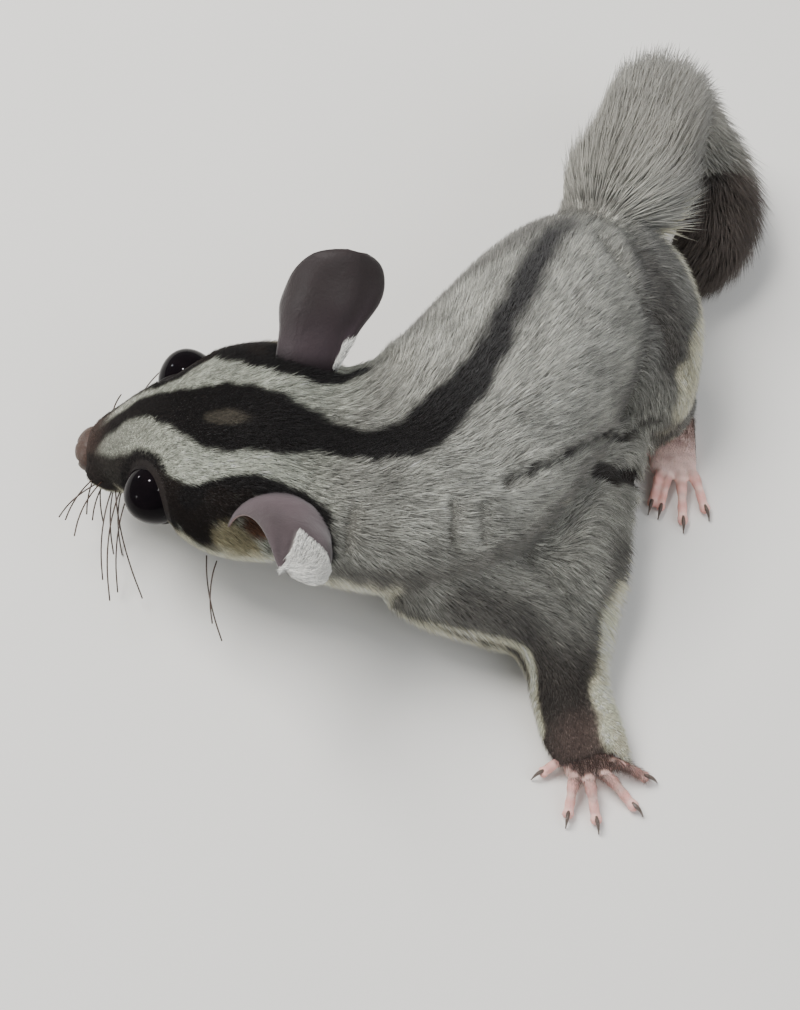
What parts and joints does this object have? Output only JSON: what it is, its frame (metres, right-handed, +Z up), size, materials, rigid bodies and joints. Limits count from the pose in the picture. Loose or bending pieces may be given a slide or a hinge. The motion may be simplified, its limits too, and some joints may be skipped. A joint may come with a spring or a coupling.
{
  "type": "sugar glider model",
  "caption": "Life-size still model of a small gliding possum crouching with a side-turned head, one fore foot planted out to its side and a curled bushy tail.",
  "frame": {"origin": "on the floor, under the middle of the bounding box", "axes": "+Z up, the head points to -X and a little to +Y, the tail leaves the body towards +Y"},
  "size_m": [0.1198, 0.1384, 0.047],
  "materials": {
    "grey_fur": "soft short fur, grey with fine pale ticking",
    "pale_fur": "soft short cream fur",
    "dark_fur": "soft long brown-black fur",
    "ear_leather": "thin bare skin, half matt",
    "nose_leather": "bare moist skin",
    "bare_skin": "bare pink skin, half matt",
    "eye": "wet black gloss"
  },
  "bodies": {
    "root": {"chest": "grey_fur", "hips": "grey_fur", "head": "grey_fur", "neck": "grey_fur", "lower_jaw": "pale_fur", "nose": "nose_leather", "eye_left": "eye", "ear_left": "ear_leather", "thigh_left": "grey_fur", "shank_left": "grey_fur", "upper_arm_left": "grey_fur", "forearm_left": "grey_fur", "hind_foot_left": "bare_skin", "fore_foot_left": "bare_skin", "gliding_skin_left": "grey_fur", "eye_right": "eye", "ear_right": "ear_leather", "thigh_right": "grey_fur", "shank_right": "grey_fur", "upper_arm_right": "grey_fur", "forearm_right": "grey_fur", "hind_foot_right": "bare_skin", "fore_foot_right": "bare_skin", "gliding_skin_right": "grey_fur", "tail_root": "grey_fur", "tail_arch": "grey_fur", "tail_turn": "grey_fur", "tail_tip": "dark_fur"}
  },
  "joints": []
}
